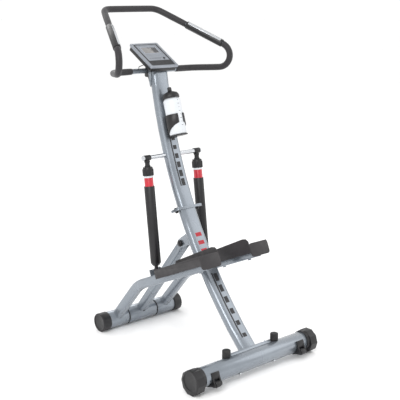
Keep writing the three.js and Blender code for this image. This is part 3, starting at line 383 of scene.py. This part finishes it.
def finish_nodes():
    """Every CAD node gets its slot's finish, smooth shading and softly rounded edges."""
    for name, thing in nodes.items():
        material = FINISHES[slot_of[name]]
        thing.data.materials.clear()
        thing.data.materials.append(material)
        for polygon in thing.data.polygons:
            polygon.use_smooth = True
            polygon.material_index = 0
        weld = thing.modifiers.new("weld", "WELD")
        weld.merge_threshold = WELD_WITHIN
        soft = thing.modifiers.new("edges", "BEVEL")
        soft.width = EDGE_ROUND.get(name, USUAL_ROUND) * MM
        soft.segments = 2
        soft.limit_method = "ANGLE"
        soft.angle_limit = ROUND_ABOVE
        soft.harden_normals = True


def blacken_rod_ends():
    """The eye and stem below each sleeve are black, and the rod above them is chrome."""
    for side in SIDES:
        rod = nodes[f"piston_rod_{side}"].data
        rod.materials.append(FINISHES["black_plastic"])
        stem_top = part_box(f"shock_sleeve_{side}")[0].z + STEM_ABOVE_SLEEVE_FOOT
        for polygon in rod.polygons:
            polygon.material_index = 1 if polygon.center.z < stem_top else 0


# ---------------------------------------------------------------- mesh tools
SOFTEN_ABOVE = math.radians(30)
CORNER_STEPS = 5


def piece(name, mesh, body, material):
    thing = bpy.data.objects.new(name, mesh)
    bpy.context.scene.collection.objects.link(thing)
    mesh.materials.append(material)
    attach(thing, body)
    return thing


def from_bmesh(name, work, smooth=True):
    mesh = bpy.data.meshes.new(name)
    bmesh.ops.recalc_face_normals(work, faces=work.faces)
    work.to_mesh(mesh)
    work.free()
    for polygon in mesh.polygons:
        polygon.use_smooth = smooth
    return mesh


def soften(thing, width):
    """Rounds a piece's sharp edges. The width is in metres."""
    bevel = thing.modifiers.new("edges", "BEVEL")
    bevel.width = width
    bevel.segments = 2
    bevel.limit_method = "ANGLE"
    bevel.angle_limit = SOFTEN_ABOVE
    bevel.harden_normals = True


def frame_at(origin, z_axis):
    """A placement whose Z runs along z_axis, with X as near ACROSS as it can be.

    It has no width or depth when z_axis itself runs across.
    """
    z_axis = Vector(z_axis).normalized()
    y_axis = z_axis.cross(ACROSS).normalized()
    x_axis = y_axis.cross(z_axis)
    turn = Matrix((x_axis, y_axis, z_axis)).transposed().to_4x4()
    return Matrix.Translation(origin) @ turn


def turned(profile, place, sides):
    """A body turned about its own Z. Profile points are (radius, height)."""
    work = bmesh.new()
    rows = []
    for radius, height in profile:
        if radius <= 0:
            rows.append([work.verts.new(place @ Vector((0, 0, height)))])
            continue
        row = []
        for step in range(sides):
            angle = 2 * math.pi * step / sides
            point = Vector((radius * math.cos(angle), radius * math.sin(angle), height))
            row.append(work.verts.new(place @ point))
        rows.append(row)
    for low, high in zip(rows, rows[1:]):
        for step in range(sides):
            after = (step + 1) % sides
            ends = [low[step % len(low)], low[after % len(low)]]
            ends += [high[after % len(high)], high[step % len(high)]]
            corners = list(dict.fromkeys(ends))
            if len(corners) > 2:
                work.faces.new(corners)
    return work


def slab(place, outline, thickness):
    """A flat closed piece from its outline in the placement's XY, raised along Z."""
    work = bmesh.new()
    low = [work.verts.new(place @ Vector((x, y, 0))) for x, y in outline]
    high = [work.verts.new(place @ Vector((x, y, thickness))) for x, y in outline]
    work.faces.new(low)
    work.faces.new(high)
    for step in range(len(low)):
        after = (step + 1) % len(low)
        work.faces.new((low[step], low[after], high[after], high[step]))
    return work


def round_box(width, length, radius, centre=(0, 0)):
    """The outline of a rectangle with rounded corners."""
    points = []
    for turn, (sx, sy) in enumerate(((1, 1), (-1, 1), (-1, -1), (1, -1))):
        for step in range(CORNER_STEPS + 1):
            angle = math.pi / 2 * (turn + step / CORNER_STEPS)
            points.append(
                (
                    centre[0] + sx * (width / 2 - radius) + radius * math.cos(angle),
                    centre[1] + sy * (length / 2 - radius) + radius * math.sin(angle),
                )
            )
    return points


def surface_of(node):
    """A CAD node's surface, for casting rays onto it."""
    work = bmesh.new()
    work.from_mesh(nodes[node].data)
    tree = BVHTree.FromBMesh(work)
    work.free()
    return tree


def joined(parts):
    whole = bmesh.new()
    for part in parts:
        mesh = bpy.data.meshes.new("part")
        part.to_mesh(mesh)
        part.free()
        whole.from_mesh(mesh)
        bpy.data.meshes.remove(mesh)
    return whole


# ---------------------------------------------------------------- sensor lead
# The lead's corners in metres, from the console down into the handlebar.
WIRE_LEAVES = Vector((-0.0500, 0.24176, 1.17094))
WIRE_DOWN = Vector((-0.0500, 0.24518, 1.16518))
WIRE_OVER = Vector((-0.0760, 0.25077, 1.15700))
WIRE_ENTERS = Vector((-0.0760, 0.25077, 1.15030))
WIRE_WIDTH = 3.0 * MM
WIRE_BEND = 4.0 * MM
BEND_STEPS = 8


def lead_path():
    """The lead's four corners, the inner two rounded with quadratic bends."""
    corners = [WIRE_LEAVES, WIRE_DOWN, WIRE_OVER, WIRE_ENTERS]
    path = [WIRE_LEAVES]
    for before, corner, after in zip(corners, corners[1:], corners[2:]):
        start = corner + (before - corner).normalized() * WIRE_BEND
        end = corner + (after - corner).normalized() * WIRE_BEND
        for step in range(BEND_STEPS + 1):
            t = step / BEND_STEPS
            path.append(start * (1 - t) ** 2 + corner * (2 * t * (1 - t)) + end * t**2)
    path.append(WIRE_ENTERS)
    return path


def sensor_lead():
    path = lead_path()
    curve = bpy.data.curves.new("sensor_lead", "CURVE")
    curve.dimensions = "3D"
    curve.bevel_depth = WIRE_WIDTH / 2
    curve.bevel_resolution = 6
    curve.use_fill_caps = True
    spline = curve.splines.new("POLY")
    spline.points.add(len(path) - 1)
    for point, at in zip(spline.points, path):
        point.co = (*at, 1)
    curve.materials.append(FINISHES["black_rubber"])
    lead = bpy.data.objects.new("sensor_lead", curve)
    bpy.context.scene.collection.objects.link(lead)
    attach(lead, "frame")
    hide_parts("sensor_wire")


# ---------------------------------------------------------------- foam sleeves
FOAM_WELD = 0.02 * MM
FOAM_FACE_ANGLE = math.radians(25)
FOAM_SHAPE_ANGLE = math.radians(60)
FOAM_LUMP_SIZE = 0.03
FOAM_LUMP_DEPTH = 0.5 * MM
FOAM_LUMP_MIDDLE = 0.35


def foam_sleeves():
    """Smooth closed-cell foam over the bar, from the CAD sleeve's own rings."""
    for name in ("foam_left", "foam_right", "foam_top"):
        work = bmesh.new()
        work.from_mesh(nodes[name].data)
        bmesh.ops.remove_doubles(work, verts=work.verts, dist=FOAM_WELD)
        bmesh.ops.join_triangles(
            work,
            faces=work.faces,
            angle_face_threshold=FOAM_FACE_ANGLE,
            angle_shape_threshold=FOAM_SHAPE_ANGLE,
        )
        mesh = from_bmesh(name.replace("foam", "foam_sleeve"), work)
        sleeve = piece(mesh.name, mesh, "frame", FINISHES["foam"])
        rounding = sleeve.modifiers.new("rounding", "SUBSURF")
        rounding.levels = rounding.render_levels = 2
        lumps = bpy.data.textures.new("lumps", "CLOUDS")
        lumps.noise_scale = FOAM_LUMP_SIZE
        uneven = sleeve.modifiers.new("uneven", "DISPLACE")
        uneven.texture = lumps
        uneven.strength = FOAM_LUMP_DEPTH
        uneven.mid_level = FOAM_LUMP_MIDDLE
        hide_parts(name)


# ---------------------------------------------------------------- bottle
# About the mean radius of the bottle's foot and neck, as a share of its own radius.
BOTTLE_END_SHARE = 0.91
MARKS_FACE = math.radians(-86)
MARK_COUNT = 8
MARK_FIRST = 0.2
MARK_PITCH = 0.09
MARK_LONG = 0.22
MARK_SHORT = 0.12
MARK_TALL = 1.6 * MM
MARK_PROUD = 0.3 * MM
MARK_SUNK = 0.4 * MM
MARK_SPLITS = 6


def drinks_bottle():
    """The bottle's leaning placement at its foot, with its radius and height."""
    axis = Vector(joints["bottle_lift"]["axis"])
    low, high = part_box("bottle")
    radius = (high.x - low.x) / 2
    slope = math.hypot(axis.x, axis.y)
    height = ((high.z - low.z) - slope * radius * 2 * BOTTLE_END_SHARE) / axis.z
    base = Vector((0, low.y + radius * axis.z, low.z + radius * slope))
    return frame_at(base, axis), radius, height


def bottle_marks():
    """A column of plain level marks on the side of the bottle that faces the user."""
    place, radius, height = drinks_bottle()
    tree = surface_of("bottle")
    work = bmesh.new()
    for step in range(MARK_COUNT):
        at = height * (MARK_FIRST + MARK_PITCH * step)
        spread = MARK_LONG if step % 2 == 0 else MARK_SHORT
        rows = []
        for rise in (0, MARK_TALL):
            for lift in (MARK_PROUD, -MARK_SUNK):
                row = []
                for k in range(MARK_SPLITS + 1):
                    angle = MARKS_FACE + spread * (k / MARK_SPLITS - 0.5)
                    radial = place.to_3x3() @ Vector((math.cos(angle), math.sin(angle), 0))
                    start = place @ Vector((0, 0, at + rise)) + radial * 3 * radius
                    hit = tree.ray_cast(start, -radial)[0]
                    row.append(work.verts.new(hit + radial * lift))
                rows.append(row)
        outer_low, inner_low, outer_high, inner_high = rows
        for first, second in (
            (outer_low, outer_high),
            (outer_high, inner_high),
            (inner_high, inner_low),
            (inner_low, outer_low),
        ):
            for k in range(MARK_SPLITS):
                work.faces.new((first[k], first[k + 1], second[k + 1], second[k]))
        for k in (0, MARK_SPLITS):
            work.faces.new((outer_low[k], outer_high[k], inner_high[k], inner_low[k]))
    mesh = from_bmesh("bottle_level_marks", work, smooth=False)
    piece("bottle_level_marks", mesh, "drinks_bottle", BLACK_INK)


# ---------------------------------------------------------------- console face
def console_place():
    """The console's lower edge centre, with X across, Y up its slope and Z out of its face."""
    normal = -Vector(joints["button_press"]["axis"])
    up_slope = normal.cross(ACROSS).normalized()
    low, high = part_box("console_front")
    wide = high.y - low.y
    tall = high.z - low.z
    length = (wide * up_slope.y - tall * up_slope.z) / (up_slope.y**2 - up_slope.z**2)
    base = Vector((0, low.y, high.z - length * up_slope.z))
    return frame_at(base, normal), high.x - low.x, length


def band(place, outer, inner, thickness):
    """A flat closed ring between two outlines that have as many points as each other."""
    work = bmesh.new()
    rows = []
    for outline, height in ((outer, 0), (outer, thickness), (inner, thickness), (inner, 0)):
        rows.append([work.verts.new(place @ Vector((x, y, height))) for x, y in outline])
    for low, high in zip(rows, rows[1:] + rows[:1]):
        for step in range(len(low)):
            after = (step + 1) % len(low)
            work.faces.new((low[step], low[after], high[after], high[step]))
    return work


# Outlines on the console's face, as shares of its width and length, then a corner
# radius, and the height of the middle as a share of the length.
BORDER_OUTER = (0.84, 0.88, 4 * MM, 0.5)
BORDER_INNER = (0.75, 0.66, 3 * MM, 0.59)
RIM_OUTER = (0.58, 0.285, 2.5 * MM, 0.688)
RIM_INNER = (0.532, 0.248, 1 * MM, 0.688)
INK_SUNK = 0.15 * MM
INK_THICK = 0.5 * MM
RIM_THICK = 0.6 * MM
DASH_COUNT = 7
DASH_FIRST = 0.25
DASH_PITCH = 0.058
DASH_UP = 0.352
DASH_SIZE = (5.5 * MM, 3 * MM, 0.8 * MM)
# Marks on the screen, as shares of the glass.
GLASS_CLEAR = 1.15 * MM
GLASS_TALL = 0.98
GLASS_INK_THICK = 0.15 * MM
SHADE_WIDE = 0.3
SHADE_TALL = 0.92
SHADE_ASIDE = 0.33
SHADE_CORNER = 1 * MM
BAR_COLUMNS = 4
BAR_ROWS = 3
BAR_FIRST = (-0.38, -0.28)
BAR_PITCH = (0.13, 0.28)
BAR_WIDE = 0.08
BAR_TALL = 0.05
BAR_CORNER = 0.3 * MM


def face_outline(width, length, shares):
    across, along, radius, middle_up = shares
    return round_box(width * across, length * along, radius, (0, length * middle_up))


def console_graphics():
    """A dark border and foot band round the grey panel, plain dashes, and the screen's rim."""
    place, width, length = console_place()
    face = place @ Matrix.Translation((0, 0, -INK_SUNK))
    outer = face_outline(width, length, BORDER_OUTER)
    inner = face_outline(width, length, BORDER_INNER)
    mesh = from_bmesh("console_border", band(face, outer, inner, INK_THICK), smooth=False)
    piece("console_border", mesh, "frame", BLACK_INK)
    dashes = []
    for step in range(DASH_COUNT):
        at = (-width * DASH_FIRST + step * width * DASH_PITCH, length * DASH_UP)
        dashes.append(slab(face, round_box(*DASH_SIZE, at), INK_THICK))
    mesh = from_bmesh("console_dashes", joined(dashes), smooth=False)
    piece("console_dashes", mesh, "frame", GREY_INK)
    outer = face_outline(width, length, RIM_OUTER)
    inner = face_outline(width, length, RIM_INNER)
    mesh = from_bmesh("screen_rim", band(face, outer, inner, RIM_THICK), smooth=False)
    piece("screen_rim", mesh, "frame", PANEL_INK)
    screen_graphics(place.to_3x3() @ UP)


def screen_graphics(normal):
    """A darker shade at the right of the glass, and plain bars at its left."""
    low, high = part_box("lcd_lens")
    glass = Vector((0, (low.y + high.y) / 2, (low.z + high.z) / 2))
    place = frame_at(glass + normal * GLASS_CLEAR, normal)
    wide = high.x - low.x
    tall = (high.y - low.y) * GLASS_TALL
    outline = round_box(wide * SHADE_WIDE, tall * SHADE_TALL, SHADE_CORNER, (wide * SHADE_ASIDE, 0))
    mesh = from_bmesh("screen_shade", slab(place, outline, GLASS_INK_THICK), smooth=False)
    piece("screen_shade", mesh, "frame", SHADE_INK)
    bars = []
    for column in range(BAR_COLUMNS):
        for row in range(BAR_ROWS):
            x = wide * (BAR_FIRST[0] + BAR_PITCH[0] * column)
            y = tall * (BAR_FIRST[1] + BAR_PITCH[1] * row)
            outline = round_box(wide * BAR_WIDE, tall * BAR_TALL, BAR_CORNER, (x, y))
            bars.append(slab(place, outline, GLASS_INK_THICK))
    mesh = from_bmesh("screen_bars", joined(bars), smooth=False)
    piece("screen_bars", mesh, "frame", GREY_INK)


# ---------------------------------------------------------------- graphics on the post
# The marks lie on the post's sloping rear face.
POST_OUTWARD = Vector((0, -0.96, 0.28))
POST_MARK_PROUD = 0.25 * MM
POST_MARK_SUNK = 0.5 * MM
POST_HALF = 15 * MM
LONG_BAR_STEPS = 8
SHORT_BAR_STEPS = 3


def laid_on(name, strips, material, tree):
    """Thin marks laid on the post, each a strip of rows of (x, z) found by looking along +Y."""
    work = bmesh.new()
    for rows in strips:
        front, back = [], []
        for row in rows:
            for store, lift in ((front, POST_MARK_PROUD), (back, -POST_MARK_SUNK)):
                line = []
                for x, z in row:
                    hit = tree.ray_cast(Vector((x, -1, z)), Vector((0, 1, 0)))[0]
                    line.append(work.verts.new(hit + POST_OUTWARD * lift))
                store.append(line)
        for low, high, under_low, under_high in zip(front, front[1:], back, back[1:]):
            for k in range(len(low) - 1):
                work.faces.new((low[k], low[k + 1], high[k + 1], high[k]))
                work.faces.new((under_low[k], under_high[k], under_high[k + 1], under_low[k + 1]))
            for k in (0, len(low) - 1):
                work.faces.new((low[k], high[k], under_high[k], under_low[k]))
        for line, under in ((front[0], back[0]), (front[-1], back[-1])):
            for k in range(len(line) - 1):
                work.faces.new((line[k], under[k], under[k + 1], line[k + 1]))
    mesh = from_bmesh(name, work, smooth=False)
    piece(name, mesh, "frame", material)


def upright_bar(left, right, low, high, steps):
    """A bar between two heights, in rows of three points."""
    rows = []
    for step in range(steps + 1):
        z = low + (high - low) * (step / steps)
        rows.append([(left, z), ((left + right) / 2, z), (right, z)])
    return rows


def post_graphics():
    """Plain bars in black and red on the post's rear face."""
    upper = surface_of("upper_post")
    lower = surface_of("lower_post")
    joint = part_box("lower_post")[1].z
    left = -POST_HALF
    right = POST_HALF

    foot, top, pitch = joint + 0.08, joint + 0.30, 0.036
    black = [upright_bar(left + 3 * MM, left + 9 * MM, foot, top, LONG_BAR_STEPS)]
    for step in range(6):
        z = foot + pitch * step
        black.append(upright_bar(left + 12 * MM, right, z, z + (0.028 - 0.003 * step), SHORT_BAR_STEPS))
    laid_on("upper_post_marks", black, BLACK_INK, upper)

    top, pitch, tall = joint - 0.115, 0.030, 0.014
    red = []
    for step in range(4):
        z = top - pitch * step
        red.append(upright_bar(left, right, z, z + tall, SHORT_BAR_STEPS))
    laid_on("lower_post_red_marks", red, RED_INK, lower)

    foot, top, pitch = joint - 0.47, joint - 0.25, 0.038
    black = [upright_bar(left + 1 * MM, left + 8 * MM, foot, top, LONG_BAR_STEPS)]
    for step in range(6):
        z = foot + pitch * step
        black.append(upright_bar(left + 11 * MM, right, z, z + 0.012 + 0.003 * step, SHORT_BAR_STEPS))
    laid_on("lower_post_black_marks", black, BLACK_INK, lower)


# ---------------------------------------------------------------- small screws
SCREW_SUNK = 1.5 * MM
SCREW_HEAD = 0.55
SCREW_SIDES = 24
SCREW_EDGE = 0.15 * MM


def socket_screw(name, at, outward, radius, body):
    """A domed cap screw with a round socket."""
    place = frame_at(at, outward)
    head = radius * SCREW_HEAD
    profile = [
        (0, -SCREW_SUNK),
        (radius * 0.96, -SCREW_SUNK),
        (radius, head * 0.3),
        (radius * 0.9, head * 0.75),
        (radius * 0.62, head),
        (radius * 0.45, head),
        (radius * 0.42, head * 0.35),
        (0, head * 0.35),
    ]
    mesh = from_bmesh(name, turned(profile, place, SCREW_SIDES))
    screw = piece(name, mesh, body, FINISHES["black_plastic"])
    soften(screw, SCREW_EDGE)


SCREW_RISE = math.radians(20)
SET_SCREW_RADIUS = 4.2 * MM
CAP_OVER_SLEEVE = 3 * MM


def set_screws():
    """One screw in each sleeve of the front base tube, on its rear side."""
    hinge = Vector(joints["left_pedal"]["pos_m"])
    low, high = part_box("front_cap_left")
    sleeve = (high.z - low.z) / 2 - CAP_OVER_SLEEVE
    outward = Vector((0, -math.cos(SCREW_RISE), math.sin(SCREW_RISE)))
    for name, x, body in (
        ("set_screw_left", middle("shock_sleeve_left").x, "left_pedal"),
        ("set_screw_right", middle("shock_sleeve_right").x, "right_pedal"),
        ("set_screw_middle", 0.0, "frame"),
    ):
        at = Vector((x, hinge.y, hinge.z)) + outward * sleeve
        socket_screw(name, at, outward, SET_SCREW_RADIUS, body)


STRUT_SCREW_RADIUS = 3.4 * MM
STRUT_SCREW_INWARD = 11 * MM
STRUT_SCREW_BACK = 2 * MM
STRUT_SCREW_DOWN = 13 * MM


def strut_screws():
    """A small screw on each side of the strut, below its bolt.

    Known fault: these screws point across, where frame_at leaves no width, so
    both come out as a line and don't show.
    """
    low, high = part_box("strut_bolt")
    for side, sign in zip(SIDES, (-1, 1)):
        x = sign * (abs(high.x) - STRUT_SCREW_INWARD)
        at = Vector((x, high.y - STRUT_SCREW_BACK, low.z - STRUT_SCREW_DOWN))
        socket_screw(f"strut_screw_{side}", at, Vector((sign, 0, 0)), STRUT_SCREW_RADIUS, "frame")


# ---------------------------------------------------------------- footplate grip
RIB_ROWS = 13
RIB_FIRST_ROW = 0.16
RIB_ROW_PITCH = 0.055
RIB_LANES = 4
RIB_FIRST_LANE = 0.2
RIB_LANE_PITCH = 0.2
RIB_LENGTH = 14 * MM
RIB_WIDTH = 3.4 * MM
RIB_CORNER = 1.6 * MM
RIB_THICK = 1.3 * MM
RIB_SUNK = 0.4 * MM
RIB_EDGE = 0.4 * MM
LEVEL_ENOUGH = 0.8


def footplate_ribs():
    """Rows of low moulded bars across each tread."""
    for side in SIDES:
        node = f"footplate_{side}"
        tree = surface_of(node)
        low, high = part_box(node)
        length = high.y - low.y
        parts = []
        for step in range(RIB_ROWS):
            y = low.y + length * (RIB_FIRST_ROW + RIB_ROW_PITCH * step)
            for lane in range(RIB_LANES):
                x = low.x + (high.x - low.x) * (RIB_FIRST_LANE + RIB_LANE_PITCH * lane)
                hit, normal, _, _ = tree.ray_cast(Vector((x, y, 1)), Vector((0, 0, -1)))
                if hit is None or normal.z < LEVEL_ENOUGH:
                    continue
                place = frame_at(hit - normal * RIB_SUNK, normal)
                bar = round_box(RIB_LENGTH, RIB_WIDTH, RIB_CORNER)
                parts.append(slab(place, bar, RIB_THICK))
        mesh = from_bmesh(f"tread_ribs_{side}", joined(parts))
        ribs = piece(mesh.name, mesh, f"{side}_pedal", FINISHES["tread_plastic"])
        soften(ribs, RIB_EDGE)


# ---------------------------------------------------------------- floor and light
# FLOOR_REACH and the lights' places and sizes are in heights of the object.
# Each light has a name, a place, a size and a power.
FLOOR_REACH = 200
FLOOR_DROP = 0.5 * MM
LIGHTS = (
    ("key", (-2.2, -1.2, 2.4), (1.6, 1.6), 80),
    ("fill", (2.4, -1.6, 1.8), (2.0, 2.0), 25),
    ("rim", (0.6, 2.4, 2.2), (1.8, 1.2), 35),
)
SKY_STRENGTH = 1.04


def area_light(name, at, aim, width, height, power):
    data = bpy.data.lights.new(name, "AREA")
    data.shape = "RECTANGLE"
    data.size = width
    data.size_y = height
    data.energy = power
    light = bpy.data.objects.new(name, data)
    light.location = at
    light.rotation_mode = "QUATERNION"
    light.rotation_quaternion = (Vector(at) - Vector(aim)).to_track_quat("Z", "Y")
    bpy.context.scene.collection.objects.link(light)


def studio():
    low, high = cad_box
    height = high.z - low.z
    aim = (low + high) / 2
    half = FLOOR_REACH * height
    work = bmesh.new()
    corners = [(-half, -half), (half, -half), (half, half), (-half, half)]
    work.faces.new([work.verts.new((x, y, low.z - FLOOR_DROP)) for x, y in corners])
    floor = bpy.data.objects.new("floor", from_bmesh("floor", work, smooth=False))
    bpy.context.scene.collection.objects.link(floor)
    look = Look("floor_paint", roughness=0.9)
    patches = look.span(look.noise(3, 3), 0.3, 0.7)
    look.colour(look.blend(patches, linear(250, 250, 250), linear(253, 253, 253)))
    floor.data.materials.append(look.material)
    for name, place, (wide, tall), power in LIGHTS:
        at = [share * height for share in place]
        area_light(name, at, aim, wide * height, tall * height, power)
    world = bpy.data.worlds.new("studio")
    world.use_nodes = True
    world.node_tree.nodes["Background"].inputs["Color"].default_value = (1, 1, 1, 1)
    world.node_tree.nodes["Background"].inputs["Strength"].default_value = SKY_STRENGTH
    bpy.context.scene.world = world
    bpy.context.scene.view_settings.view_transform = "Standard"


# ---------------------------------------------------------------- the scene
make_camera()
sensor_lead()
finish_nodes()
blacken_rod_ends()
foam_sleeves()
bottle_marks()
console_graphics()
post_graphics()
set_screws()
strut_screws()
footplate_ribs()
studio()
